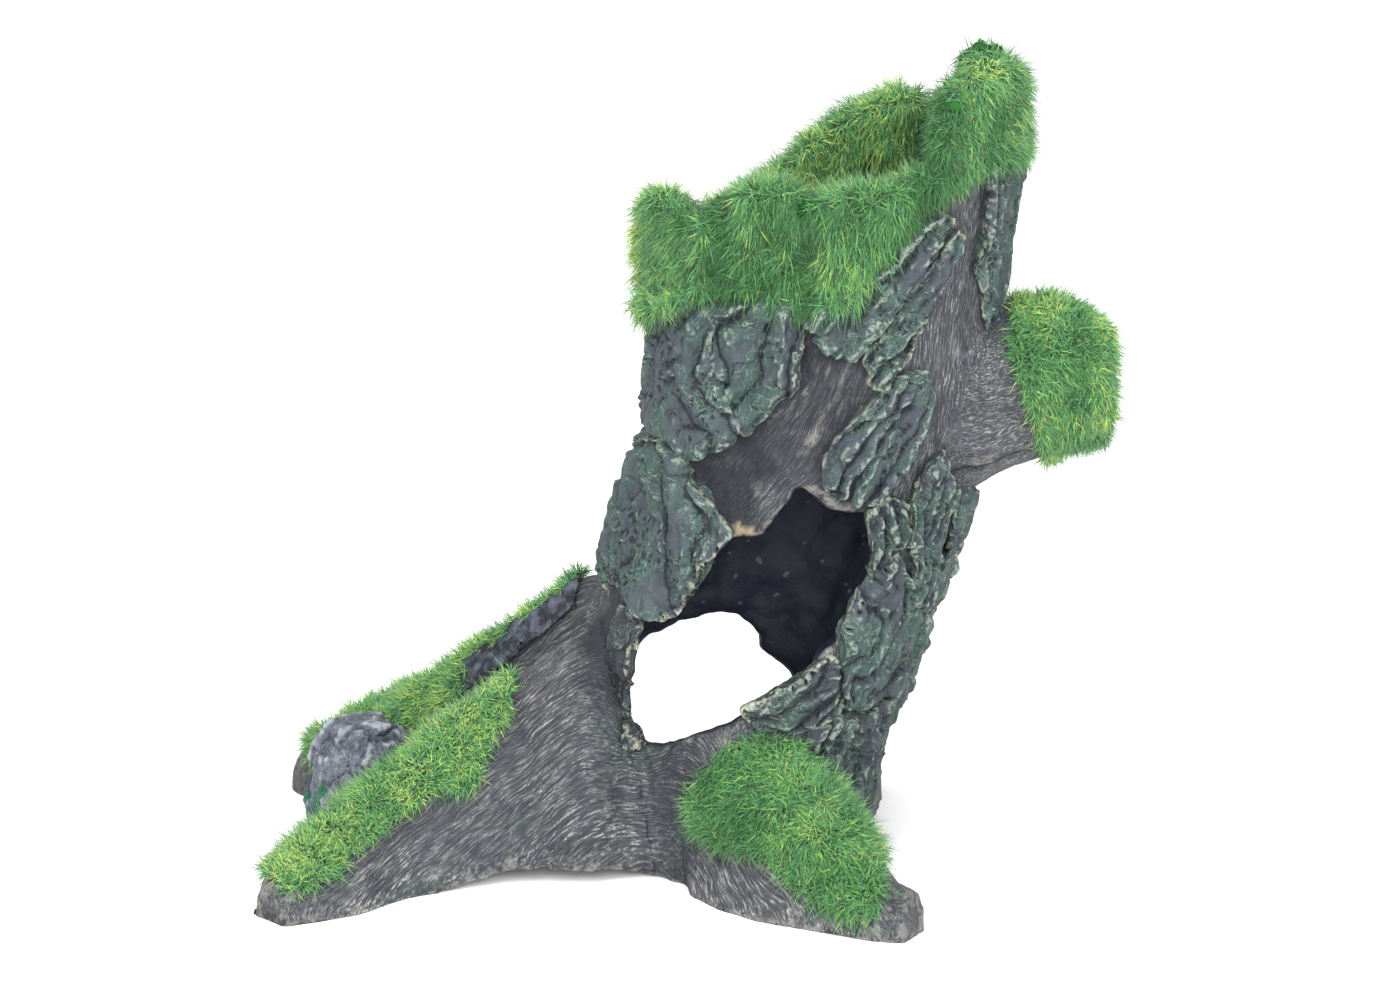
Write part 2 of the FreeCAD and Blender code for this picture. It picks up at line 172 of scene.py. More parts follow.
def nearest(tree, points):
    """Signed distance to the tree's surface, its normal there and the face number."""
    signed = np.empty(len(points))
    outward = np.empty((len(points), 3))
    faces = np.empty(len(points), int)
    for number, point in enumerate(points.tolist()):
        place, normal, face, far = tree.find_nearest(point)
        inside = (Vector(point) - place).dot(normal) < 0
        signed[number] = -far if inside else far
        outward[number] = normal
        faces[number] = face
    return signed, outward, faces


def remeshed(points, faces, voxel):
    """Even quads over the union of closed meshes."""
    mesh = bpy.data.meshes.new("draft")
    mesh.from_pydata(points.tolist(), [], faces.tolist())
    draft = bpy.data.objects.new("draft", mesh)
    bpy.context.scene.collection.objects.link(draft)
    remesh = draft.modifiers.new("Remesh", "REMESH")
    remesh.mode = "VOXEL"
    remesh.voxel_size = voxel
    shown = draft.evaluated_get(bpy.context.evaluated_depsgraph_get()).to_mesh()
    flat = np.empty(len(shown.vertices) * 3, np.float32)
    shown.vertices.foreach_get("co", flat)
    loops = np.empty(len(shown.loops), np.int32)
    shown.loops.foreach_get("vertex_index", loops)
    bpy.data.objects.remove(draft)
    return flat.reshape(-1, 3).astype(float), loops.reshape(-1, 4)


class Net:
    """Which points of a quad mesh are neighbours."""

    def __init__(self, quads, count):
        sides = np.concatenate([quads[:, [k, (k + 1) % 4]] for k in range(4)])
        sides.sort(axis=1)
        sides = np.unique(sides, axis=0)
        self.one, self.two = sides.T
        self.count = count
        self.degree = np.maximum(np.bincount(self.one, minlength=count)
                                 + np.bincount(self.two, minlength=count), 1)

    def average(self, values):
        out = np.empty_like(values)
        for k in range(values.shape[1]):
            out[:, k] = np.bincount(self.one, values[self.two, k], self.count)
            out[:, k] += np.bincount(self.two, values[self.one, k], self.count)
        return out / self.degree[:, None]

    def smooth(self, values, times, share=0.5):
        for _ in range(times):
            values = values + share * (self.average(values) - values)
        return values

    def relax(self, values, times):
        """Smoothing that keeps the volume."""
        for _ in range(times):
            values = values + 0.60 * (self.average(values) - values)
            values = values - 0.63 * (self.average(values) - values)
        return values


def normals_of(points, quads):
    """Outward normal at each point of a quad mesh."""
    across = np.cross(points[quads[:, 2]] - points[quads[:, 0]],
                      points[quads[:, 3]] - points[quads[:, 1]])
    total = np.zeros_like(points)
    for corner in range(4):
        for k in range(3):
            total[:, k] += np.bincount(quads[:, corner], across[:, k], len(points))
    return total / np.maximum(np.linalg.norm(total, axis=1), 1e-9)[:, None]


def relief_of(net, points, quads, times):
    """How far each point stands out from its smoothed surroundings."""
    return ((points - net.smooth(points, times, 0.8)) * normals_of(points, quads)).sum(axis=1)


def make_piece(name, points, faces, materials, fields=None, slots=None, caps=()):
    """Smooth-shaded mesh piece in metres: equal faces, capping triangles, per-point fields."""
    mesh = bpy.data.meshes.new(name)
    triangles = np.array(caps, int).reshape(-1, 3)
    loops = np.concatenate([faces.ravel(), triangles.ravel()])
    starts = np.concatenate([np.arange(0, faces.size, faces.shape[1]),
                             faces.size + np.arange(0, triangles.size, 3)])
    mesh.vertices.add(len(points))
    mesh.vertices.foreach_set("co", (points * MM).astype(np.float32).ravel())
    mesh.loops.add(len(loops))
    mesh.loops.foreach_set("vertex_index", loops.astype(np.int32))
    mesh.polygons.add(len(starts))
    mesh.polygons.foreach_set("loop_start", starts.astype(np.int32))
    mesh.polygons.foreach_set("use_smooth", np.ones(len(starts), bool))
    for material in materials:
        mesh.materials.append(material)
    if slots is not None:
        mesh.polygons.foreach_set("material_index", slots.astype(np.int32))
    for field, values in (fields or {}).items():
        vector = values.ndim == 2
        layer = mesh.attributes.new(field, "FLOAT_VECTOR" if vector else "FLOAT", "POINT")
        layer.data.foreach_set("vector" if vector else "value",
                               values.astype(np.float32).ravel())
    mesh.update(calc_edges=True)
    piece = bpy.data.objects.new(name, mesh)
    bpy.context.scene.collection.objects.link(piece)
    return piece


def mount_piece(piece, node):
    """Sets a piece on the body in place of a CAD node."""
    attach(piece, BODY)
    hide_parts(node)


# ---------------------------------------------------------------- materials

class Shader:
    """Small helper that builds one material's nodes."""

    def __init__(self, name, roughness=0.8, specular=0.3):
        self.material = bpy.data.materials.new(name)
        self.material.use_nodes = True
        self.tree = self.material.node_tree
        self.shader = self.tree.nodes["Principled BSDF"]
        self.shader.inputs["Roughness"].default_value = roughness
        self.shader.inputs["Specular IOR Level"].default_value = specular

    def node(self, kind, **settings):
        made = self.tree.nodes.new(kind)
        for key, value in settings.items():
            setattr(made, key, value)
        return made

    def link(self, source, target):
        self.tree.links.new(source, target)

    def field(self, name):
        return self.node("ShaderNodeAttribute", attribute_name=name)

    def stretched(self, source, scale):
        mapping = self.node("ShaderNodeMapping", vector_type="POINT")
        mapping.inputs["Scale"].default_value = scale
        self.link(source, mapping.inputs["Vector"])
        return mapping.outputs["Vector"]

    def noise(self, source, scale, detail=3.0, rough=0.55, distortion=0.0):
        made = self.node("ShaderNodeTexNoise")
        made.inputs["Scale"].default_value = scale
        made.inputs["Detail"].default_value = detail
        made.inputs["Roughness"].default_value = rough
        made.inputs["Distortion"].default_value = distortion
        self.link(source, made.inputs["Vector"])
        return made.outputs["Fac"]

    def ramp(self, source, low, high):
        made = self.node("ShaderNodeMapRange", interpolation_type="SMOOTHSTEP")
        made.inputs["From Min"].default_value = low
        made.inputs["From Max"].default_value = high
        self.link(source, made.inputs["Value"])
        return made.outputs["Result"]

    def math(self, operation, one, two):
        made = self.node("ShaderNodeMath", operation=operation)
        for socket, value in zip(made.inputs, (one, two)):
            if isinstance(value, (int, float)):
                socket.default_value = value
            else:
                self.link(value, socket)
        return made.outputs["Value"]

    def mix(self, share, one, two):
        made = self.node("ShaderNodeMix", data_type="RGBA")
        if isinstance(share, (int, float)):
            made.inputs["Factor"].default_value = share
        else:
            self.link(share, made.inputs["Factor"])
        for socket, value in ((made.inputs["A"], one), (made.inputs["B"], two)):
            if isinstance(value, tuple):
                socket.default_value = (*value, 1)
            else:
                self.link(value, socket)
        return made.outputs["Result"]

    def colour(self, source):
        self.link(source, self.shader.inputs["Base Color"])

    def bump(self, height, distance, strength=1.0, after=None):
        made = self.node("ShaderNodeBump")
        made.inputs["Strength"].default_value = strength
        made.inputs["Distance"].default_value = distance
        self.link(height, made.inputs["Height"])
        if after is not None:
            self.link(after, made.inputs["Normal"])
        self.link(made.outputs["Normal"], self.shader.inputs["Normal"])
        return made.outputs["Normal"]


# Linear colours of the paint.
WOOD_DARK = (0.031, 0.034, 0.042)
WOOD_MID = (0.070, 0.074, 0.084)
WOOD_PALE = (0.38, 0.37, 0.335)
WOOD_TAN = (0.36, 0.29, 0.18)
CAVE_NAVY = (0.0050, 0.0072, 0.0180)
BARK_GREY = (0.044, 0.056, 0.068)
BARK_GREEN = (0.036, 0.072, 0.062)
BARK_PALE = (0.30, 0.36, 0.29)
BARK_CREAM = (0.46, 0.44, 0.34)
BARK_DARK = (0.012, 0.014, 0.020)
STONE_GREY = (0.105, 0.118, 0.150)
STONE_PALE = (0.26, 0.28, 0.32)
STONE_DARK = (0.030, 0.033, 0.046)
STONE_GREEN = (0.010, 0.095, 0.050)


def grain(s, name):
    """Fine and finer lines that run along one flow field."""
    flow = s.field(name).outputs["Vector"]
    fine = s.noise(s.stretched(flow, (3.5, 3.5, 0.25)), 1.0, 2.0, 0.55)
    finer = s.noise(s.stretched(flow, (5.4, 5.4, 1.1)), 1.0, 2.0, 0.5)
    return fine, finer


def wood_material():
    """Blue-grey wood with pale lines brushed along a fine grain, painted shade in hollows and
    darkened zones, near black in the cave.
    """
    s = Shader("resin_wood_paint", roughness=0.62, specular=0.3)
    place = s.field("place").outputs["Vector"]
    blend = s.field("blend").outputs["Fac"]
    fine, finer = [s.mix(blend, one, two) for one, two in
                   zip(grain(s, "flow_trunk"), grain(s, "flow_limb"))]
    broad = s.noise(place, 0.06, 3.0)
    speck = s.noise(place, 0.55, 3.0, 0.6)
    lines = s.math("MULTIPLY", s.ramp(fine, 0.50, 0.64), s.ramp(finer, 0.40, 0.60))
    patchy = s.math("ADD", s.math("MULTIPLY", s.ramp(broad, 0.36, 0.62), 0.55), 0.30)
    brushed = s.math("MULTIPLY", lines, patchy)
    relief = s.field("edge").outputs["Fac"]
    edge = s.math("MULTIPLY", s.ramp(relief, 0.16, 0.50), s.ramp(speck, 0.38, 0.56))
    outside = s.math("SUBTRACT", 1.0, s.field("inside").outputs["Fac"])
    base = s.mix(s.ramp(fine, 0.36, 0.58), WOOD_DARK, WOOD_MID)
    base = s.mix(s.math("MULTIPLY", s.ramp(speck, 0.56, 0.40), 0.22), base, WOOD_DARK)
    base = s.mix(s.math("MULTIPLY", s.field("green").outputs["Fac"], 0.6), base, BARK_GREEN)
    base = s.mix(s.math("MULTIPLY", brushed, outside), base, WOOD_PALE)
    # Painted shade in the hollows of the carving.
    base = s.mix(s.ramp(relief, -0.10, -0.45), base, WOOD_DARK)
    # Painted shade beside the slabs, along the foot, under the arch and in the branch groove, and
    # darkened zones on the front.
    base = s.mix(s.field("shade").outputs["Fac"], base, BARK_DARK)
    base = s.mix(s.math("MULTIPLY", edge, 0.35), base, WOOD_PALE)
    base = s.mix(s.field("tan").outputs["Fac"], base, WOOD_TAN)
    specks = s.ramp(s.noise(place, 0.42, 1.0, 0.3), 0.715, 0.75)
    inner = s.mix(s.math("MULTIPLY", specks, 0.45), CAVE_NAVY, STONE_GREY)
    s.colour(s.mix(s.field("inside").outputs["Fac"], base, inner))
    height = s.math("ADD", fine, s.math("MULTIPLY", finer, 0.5))
    first = s.bump(s.math("MULTIPLY", height, outside), 0.0009, 0.8)
    s.bump(speck, 0.0006, 0.5, first)
    return s.material


def bark_material():
    """Blue-grey bark mottled green, dark streaks along its grain, painted shade in its cracks and
    hollows, pale brushed on raised edges.
    """
    s = Shader("resin_bark_paint", roughness=0.6, specular=0.35)
    place = s.field("place").outputs["Vector"]
    flow = s.field("flow").outputs["Vector"]
    mottle = s.noise(place, 0.10, 4.0, 0.6)
    fibre = s.noise(s.stretched(flow, (0.8, 0.8, 0.20)), 1.0, 4.0, 0.6, 0.4)
    pits = s.noise(place, 0.85, 4.0, 0.65)
    relief = s.field("edge").outputs["Fac"]
    base = s.mix(s.ramp(mottle, 0.40, 0.58), BARK_GREY, BARK_GREEN)
    base = s.mix(s.math("MULTIPLY", s.ramp(fibre, 0.52, 0.36), 0.45), base, BARK_DARK)
    # Each slab darkened by its own amount from the table.
    base = s.mix(s.field("dark").outputs["Fac"], base, BARK_DARK)
    # Painted shade in the bark's hollows, ridge valleys and pits.
    base = s.mix(s.ramp(relief, -0.06, -0.42), base, BARK_DARK)
    broken = s.ramp(pits, 0.42, 0.56)
    chipped = s.ramp(s.noise(place, 0.45, 3.0, 0.65), 0.46, 0.58)
    rim = s.math("MULTIPLY", s.field("rim").outputs["Fac"], chipped)
    ridge = s.math("MULTIPLY", s.ramp(relief, 0.20, 0.50), broken)
    vein = s.math("ABSOLUTE", s.math("SUBTRACT", s.noise(place, 0.24, 3.0, 0.6, 1.2), 0.5), 0.0)
    vein = s.math("MULTIPLY", s.ramp(vein, 0.016, 0.002), s.ramp(mottle, 0.44, 0.54))
    pale = s.math("MAXIMUM", s.math("MULTIPLY", ridge, 0.55), s.math("MULTIPLY", vein, 0.40))
    base = s.mix(pale, base, BARK_PALE)
    s.colour(s.mix(s.math("MULTIPLY", rim, 0.60), base, BARK_CREAM))
    first = s.bump(s.math("ADD", fibre, s.math("MULTIPLY", pits, 0.8)), 0.0011, 0.8)
    s.bump(s.noise(place, 2.2, 3.0, 0.6), 0.0003, 0.5, first)
    return s.material


def stone_material():
    """Blue-grey stone with pale veins, painted shade in its cracks and hollows, and dabs of green
    paint low down.
    """
    s = Shader("resin_stone_paint", roughness=0.55, specular=0.35)
    place = s.field("place").outputs["Vector"]
    mottle = s.noise(place, 0.25, 5.0, 0.65)
    veins = s.noise(place, 0.40, 4.0, 0.6, 1.2)
    base = s.mix(s.ramp(mottle, 0.3, 0.7), STONE_DARK, STONE_GREY)
    vein = s.ramp(s.math("ABSOLUTE", s.math("SUBTRACT", veins, 0.5), 0.0), 0.035, 0.0)
    edge = s.ramp(s.field("edge").outputs["Fac"], 0.10, 0.5)
    base = s.mix(s.math("MAXIMUM", s.math("MULTIPLY", vein, 0.5), edge), base, STONE_PALE)
    # Painted shade in the stone's cracks and hollows.
    base = s.mix(s.ramp(s.field("edge").outputs["Fac"], -0.10, -0.5), base, STONE_DARK)
    s.colour(s.mix(s.field("green").outputs["Fac"], base, STONE_GREEN))
    s.bump(s.math("ADD", mottle, veins), 0.0010, 0.8)
    return s.material


def mat_material():
    """Green backing that the moss fibres stand on, dark bark where it is bare."""
    s = Shader("moss_backing", roughness=0.9, specular=0.1)
    place = s.field("place").outputs["Vector"]
    mottle = s.noise(place, 0.35, 4.0, 0.6)
    green = s.mix(s.ramp(mottle, 0.35, 0.65), (0.008, 0.042, 0.010), (0.026, 0.110, 0.022))
    rock = s.mix(s.ramp(s.noise(place, 0.30, 4.0, 0.55), 0.42, 0.66), WOOD_DARK, STONE_GREY)
    s.colour(s.mix(s.field("bare").outputs["Fac"], green, rock))
    s.bump(s.noise(place, 1.6, 3.0, 0.6), 0.0010, 1.0)
    return s.material


# Fibre greens. The darkest is only for the lower half of a bent fibre, as painted shade at its
# foot.
FIBRES = [
    ("deep", (0.014, 0.080, 0.018)),
    ("shade", (0.030, 0.140, 0.030)),
    ("leaf", (0.072, 0.245, 0.070)),
    ("fresh", (0.120, 0.335, 0.105)),
    ("cool", (0.080, 0.300, 0.140)),
    ("lime", (0.250, 0.455, 0.090)),
    ("straw", (0.430, 0.560, 0.140)),
]


def fibre_materials():
    """One plain green material per tone."""
    made = []
    for name, colour in FIBRES:
        s = Shader("moss_fibre_" + name, roughness=0.5, specular=0.35)
        s.shader.inputs["Base Color"].default_value = (*colour, 1)
        s.shader.inputs["Sheen Weight"].default_value = 0.15
        made.append(s.material)
    return made


# ---------------------------------------------------------------- the trunk's shape

cad_points, cad_faces, cad_owner = cad_arrays(WOOD_NODES)
cad_tree = tree_of(cad_points, cad_faces)
trunk_points, trunk_faces, _ = cad_arrays(["trunk_shell"])
trunk_tree = tree_of(trunk_points, trunk_faces)


def trunk_profile():
    """Centre and half widths of the trunk at the heights where its full ring stands."""
    rows = []
    heights, counts = np.unique(np.round(trunk_points[:, 2], 1), return_counts=True)
    for height, count in zip(heights, counts):
        ring = trunk_points[np.abs(trunk_points[:, 2] - height) < 0.2]
        wide = np.ptp(ring[:, 0])
        if count > 12 and wide > 50 and height < BASIN_FLOOR + 1:
            rows.append((height, (ring[:, 0].min() + ring[:, 0].max()) / 2, wide / 2,
                         ring[:, 1].max()))
    return np.array(rows)


profile = trunk_profile()
TRUNK_BACK = float(np.median(profile[:, 3]))
TRUNK_Y = float((trunk_points[:, 1].min() + TRUNK_BACK) / 2)


def trunk_at(height):
    """Centre across, half width and half depth of the trunk at each height."""
    return (np.interp(height, profile[:, 0], profile[:, 1]),
            np.interp(height, profile[:, 0], profile[:, 2]),
            np.interp(height, profile[:, 0], profile[:, 3]) - TRUNK_Y)


def trunk_share(points):
    """1 on the trunk's outer surface, less inside, more outside."""
    middle, wide, deep = trunk_at(points[:, 2])
    return np.hypot((points[:, 0] - middle) / wide, (points[:, 1] - TRUNK_Y) / deep)


def trunk_outward(points):
    """Level direction straight out of the trunk's oval."""
    middle, wide, deep = trunk_at(points[:, 2])
    out = np.stack([(points[:, 0] - middle) / wide ** 2, (points[:, 1] - TRUNK_Y) / deep ** 2,
                    np.zeros(len(points))], axis=1)
    return out / np.maximum(np.linalg.norm(out, axis=1), 1e-9)[:, None]


def trunk_flow(points):
    """Coordinates across and along the trunk's grain, which slants on the left front."""
    height = points[:, 2]
    middle = trunk_at(height)[0]
    slant = 0.50 * smoothstep(points[:, 0], 54, 26) * smoothstep(height, 62, 84)
    slant = slant * smoothstep(points[:, 1], TRUNK_Y + 14, TRUNK_Y - 8)
    across = points[:, 0] - middle - slant * (height - 100)
    return np.stack([across, points[:, 1], height], axis=1)


# Middle lines of the roots: across, back, half width and top. The flare runs along both front
# roots.
ROOT_LINES = {
    "flare": [
        (-91, -39, 6, 8), (-77, -27, 10.5, 17.5), (-65, -18, 11, 26), (-52, -11, 12.5, 35),
        (-39, -6, 14, 43), (-22, -4, 16.5, 56), (-4, -6, 14, 58), (10, -12, 14, 58),
        (18, -21, 15.5, 46), (25, -30, 13.5, 33), (33, -36, 11, 23), (39, -41, 9, 16),
        (49, -48.5, 5, 9)],
    "root_back_left": [
        (3, 6, 10, 60), (-19, 18, 14.5, 64), (-38, 26, 12.5, 47.5), (-57, 33, 11.5, 31.5),
        (-80, 43.5, 10, 17.5), (-92, 50, 5, 7)],
    "root_back_right": [
        (25, 2, 9, 40), (30, 20, 12.5, 33), (35, 32, 10.5, 21), (42, 49, 5, 8)],
}
BRANCH_START = 50
BRANCH_AXIS = 98


def branch_flow(points):
    """Coordinates round and along the branch, whose grain rises to its end."""
    rise = points[:, 2] - BRANCH_AXIS - 0.22 * (points[:, 0] - BRANCH_START)
    aside = points[:, 1] - TRUNK_Y
    round_it = np.arctan2(rise, -aside)
    return np.stack([round_it * 18, np.hypot(rise, aside), points[:, 0]], axis=1)


def root_flow(name, points):
    """Coordinates round and along a root; its lines draw together towards the tip."""
    line = np.array(ROOT_LINES[name], float)
    best = np.full(len(points), 1e9)
    flow = np.zeros((len(points), 3))
    walked = 0.0
    for start, end in zip(line, line[1:]):
        way = end[:2] - start[:2]
        length = np.linalg.norm(way)
        way = way / length
        offset = points[:, :2] - start[:2]
        along = np.clip(offset @ way, 0, length)
        far = np.linalg.norm(offset - along[:, None] * way, axis=1)
        aside = far * np.sign(offset @ np.array([-way[1], way[0]]))
        half = start[2] + (end[2] - start[2]) * along / length
        top = start[3] + (end[3] - start[3]) * along / length
        turn = np.arctan2(np.maximum(points[:, 2], 0) / top, aside / half) - math.pi / 2
        out = np.hypot(aside / half, points[:, 2] / top)
        new = np.stack([turn * (9 + 0.28 * (half + top)), out * 12, walked + along], axis=1)
        closer = far < best
        flow[closer] = new[closer]
        best = np.minimum(best, far)
        walked += length
    return flow


# ---------------------------------------------------------------- wood

# Carving of the wood, in millimetres.
STRAND_LIFT = 0.45       # coarse strands of the grain
FINE_LIFT = 0.26         # fine strands
SWELL_LIFT = 0.9         # broad unevenness
GROOVE_DEPTH = 0.9
WAVER = 0.85             # sideways waver of every edge
FOOT_DROP = 1.0          # low edges are drawn down to the ground
TOE_REACH = 3.2          # how far the roots spread forward at the ground
SAG_DROP = 1.7           # how far the branch hangs just beyond the trunk
SAG_HEIGHT = 93


def joined_wood():
    """Wood surface whose limbs flare into the trunk: points, quads, owners and node shares."""
    points, quads = remeshed(cad_points, cad_faces, WOOD_VOXEL)
    net = Net(quads, len(points))
    owner = cad_owner[nearest(cad_tree, points)[2]]
    shares = np.eye(len(WOOD_NODES))[owner]
    shares = net.smooth(shares, 120, 0.9)
    joint = np.clip((1 - shares.max(axis=1)) * 3.0, 0, 1)[:, None]
    joint = joint * smoothstep(points[:, 2], 2, 7)[:, None]
    for _ in range(180):
        points = points + joint * 0.9 * (net.average(points) - points)
    return net.relax(points, 12), quads, owner, shares, net


def limb_flow(points, shares, net):
    """Grain coordinates along whichever limb is nearest."""
    limb = shares[:, 1:].argmax(axis=1) + 1
    flow = root_flow("flare", points)
    flow[limb == 1] = branch_flow(points[limb == 1])
    for number, name in enumerate(WOOD_NODES):
        if name in ROOT_LINES:
            chosen = (limb == number) & (points[:, 1] > TRUNK_Y - 4)
            flow[chosen] = root_flow(name, points[chosen])
    return net.smooth(flow, 90, 0.9)


def wood_feet(points, smooth_points, normal, front):
    """Sharp ground edges, roots spread forward and a branch that hangs a little."""
    x, _, z = smooth_points.T
    points[:, 2] -= FOOT_DROP * (1.0 - smoothstep(points[:, 2], 1, 5))
    toe = (smoothstep(x, 0, 8) + smoothstep(x, -62, -72)) * smoothstep(-normal[:, 1], 0.0, 0.5)
    points[:, 1] -= TOE_REACH * toe * front * smoothstep(z, 14, 2)
    sag = ramps(x, [(58, 64), (84, 77)]) * smoothstep(np.abs(z - SAG_HEIGHT), 11, 5)
    points[:, 2] -= SAG_DROP * sag
    points[:, 2] = np.maximum(points[:, 2], 0.0)
    return points


def wood_shape():
    """One continuous wood surface with its grain carved, and the fields its paint needs."""
    points, quads, owner, shares, net = joined_wood()
    smooth_points = points
    z = points[:, 2]
    front = smoothstep(points[:, 1], TRUNK_Y + 2, TRUNK_Y - 8)
    flow_trunk = trunk_flow(points)
    flow_limb = limb_flow(points, shares, net)
    blend = np.maximum(1 - shares[:, 0], front * smoothstep(z, 40, 30))
    blend = smoothstep(blend, 0.15, 0.85)
    within = smoothstep(trunk_share(points), 0.95, 0.90)
    hollow = within * smoothstep(z, CEILING + 4, CEILING + 1) * shares[:, 0]
    basin = within * smoothstep(z, CEILING + 3, CEILING + 5)
    outer = 1 - np.maximum(hollow, basin * 0.6)

    normal = normals_of(points, quads)
    lift = np.zeros(len(points))
    for flow, part in ((flow_trunk, 1 - blend), (flow_limb, blend)):
        strands = layered(flow / (2.7, 2.7, 20), 9, 2)
        fine = layered(flow / (1.9, 1.9, 14), 13, 2)
        lift += part * (STRAND_LIFT * strands + FINE_LIFT * fine)
    groove, strip = branch_groove(points)
    swell = SWELL_LIFT * layered(points / 13, 5, 3)
    lift = outer * (lift + swell - 0.2 - GROOVE_DEPTH * groove)
    lift = lift + (1 - outer) * 0.5 * layered(points / 7, 21, 3)
    above = smoothstep(z, 0.3, 5.0)
    points = points + normal * (lift * (0.15 + 0.85 * above))[:, None]
    points = points + warp(points / 6.0, 33) * WAVER * above[:, None]
    points = wood_feet(points, smooth_points, normal, front)
    fields = {"flow_trunk": flow_trunk, "flow_limb": flow_limb, "blend": blend,
              "place": points.copy(), "edge": relief_of(net, points, quads, 10),
              "inside": hollow}
    fields.update(wood_shade_and_tints(points, front, outer))
    # Painted shade in the branch groove; the strip under it is kept lighter.
    fields["shade"] = np.maximum(fields["shade"], 0.75 * groove) * (1 - 0.8 * strip)
    return points, quads, owner, fields, net


def branch_groove(points):
    """Groove along the branch's lower front edge, and the strip of wood under it."""
    x, _, z = points.T
    turn = branch_flow(points)[:, 0] / 18 + 0.06 * noise(points / 8, 15)
    here = smoothstep(x, 47, 55) * smoothstep(np.abs(z - 97), 34, 26)
    return here * np.exp(-((turn + 0.52) / 0.055) ** 2), here * smoothstep(turn, -0.58, -0.70)


# Darkened zones on the front: strength, ramps across and ramps upward. The recess zone is painted
# shade.
FRONT_DARKENING = {
    "panel": (0.65, [(44, 36)], [(74, 82), (136, 130)]),
    "recess": (0.60, [(17, 12)], [(74, 78), (110, 102)]),
    "post": (0.95, [(-5, -9), (-27, -21)], [(38, 46), (86, 76)]),
    "flare": (0.25, [(-50, -38), (12, 2)], [(54, 44)]),
}


def wood_shade_and_tints(points, front, outer):
    """Where the wood is darkened by painted shade and darkened zones, dusted green or left tan.
    """
    x, _, z = points.T
    slab_points, slab_faces, _ = cad_arrays(list(BARK_RIDGES))
    slab_gap = nearest(tree_of(slab_points, slab_faces), points)[0]
    # Painted shade on the wood beside the bark slabs.
    shade = 0.45 * smoothstep(slab_gap, 3.5, 0.2)
    # Darkened zones on the front; the recess zone is painted shade.
    for strength, across, upward in FRONT_DARKENING.values():
        shade = shade + strength * front * ramps(x, across) * ramps(z, upward)
    wobble = layered(points / 9, 75, 2)
    shade = np.clip(shade * (0.8 + 0.5 * wobble), 0, 0.9)
    # Painted shade along the front's lowest edge and under the arch.
    sill = front * smoothstep(z + 4 * wobble, 1.4, 0.6)
    under_arch_shade = front * ramps(x, [(-34, -28), (-12, -16)])
    under_arch_shade = under_arch_shade * smoothstep(np.abs(z - 8.5 - 0.10 * (x + 22)), 1.7, 0.9)
    shade = np.maximum(shade, np.maximum(0.7 * sill, 0.6 * under_arch_shade)) * outer
    green = smoothstep(layered(points / 15, 71, 2), 0.30, 0.62) * 0.7
    by_sill = np.exp(-((x + 10) ** 2 + (z - 34) ** 2) / 60) * front
    green = np.clip(green + by_sill, 0, 1) * outer
    tongue = np.exp(-((x - 11) ** 2 / 45 + (z - 81.5) ** 2 / 7)) * front
    tan = smoothstep(tongue + 0.7 * layered(points / 1.3, 79, 2), 0.45, 0.85) * outer
    return {"shade": shade, "green": green, "tan": tan * 0.7}


def closed_part(points, quads, chosen):
    """The chosen quads with every open edge loop capped towards the inside."""
    part = quads[chosen]
    used, part = np.unique(part, return_inverse=True)
    part = part.reshape(-1, 4)
    kept = points[used]
    starts = np.concatenate([part[:, k] for k in range(4)])
    ends = np.concatenate([part[:, (k + 1) % 4] for k in range(4)])
    twin = set(zip(ends.tolist(), starts.tolist()))
    follow = {}
    for start, end in zip(starts.tolist(), ends.tolist()):
        if (start, end) not in twin:
            follow.setdefault(start, []).append(end)
    extra_points, caps = [], []
    while follow:
        loop = [next(iter(follow))]
        while loop[-1] in follow:
            step = follow[loop[-1]].pop()
            if not follow[loop[-1]]:
                del follow[loop[-1]]
            if step == loop[0]:
                break
            loop.append(step)
        middle = len(kept) + len(extra_points)
        extra_points.append(kept[loop].mean(axis=0))
        for start, end in zip(loop, loop[1:] + loop[:1]):
            caps.append((end, start, middle))
    return used, kept, part, extra_points, caps


def make_wood():
    """One piece per wood node, cut from the continuous surface; gives back that surface."""
    points, quads, owner, fields, net = wood_shape()
    paint = wood_material()
    votes = np.eye(len(WOOD_NODES))[owner]
    owner = net.smooth(votes, 6, 0.9).argmax(axis=1)
    face_owner = owner[quads[:, 0]]
    for number, name in enumerate(WOOD_NODES):
        used, kept, part, extra, caps = closed_part(points, quads, face_owner == number)
        own = {key: values[used] for key, values in fields.items()}
        if extra:
            kept = np.concatenate([kept, np.array(extra)])
            for key, values in own.items():
                fill = np.zeros((len(extra),) + values.shape[1:])
                own[key] = np.concatenate([values, fill])
        piece = make_piece("wood_" + name, kept, part, [paint], own, caps=caps)
        mount_piece(piece, name)
    return points, quads


# ---------------------------------------------------------------- bark slabs

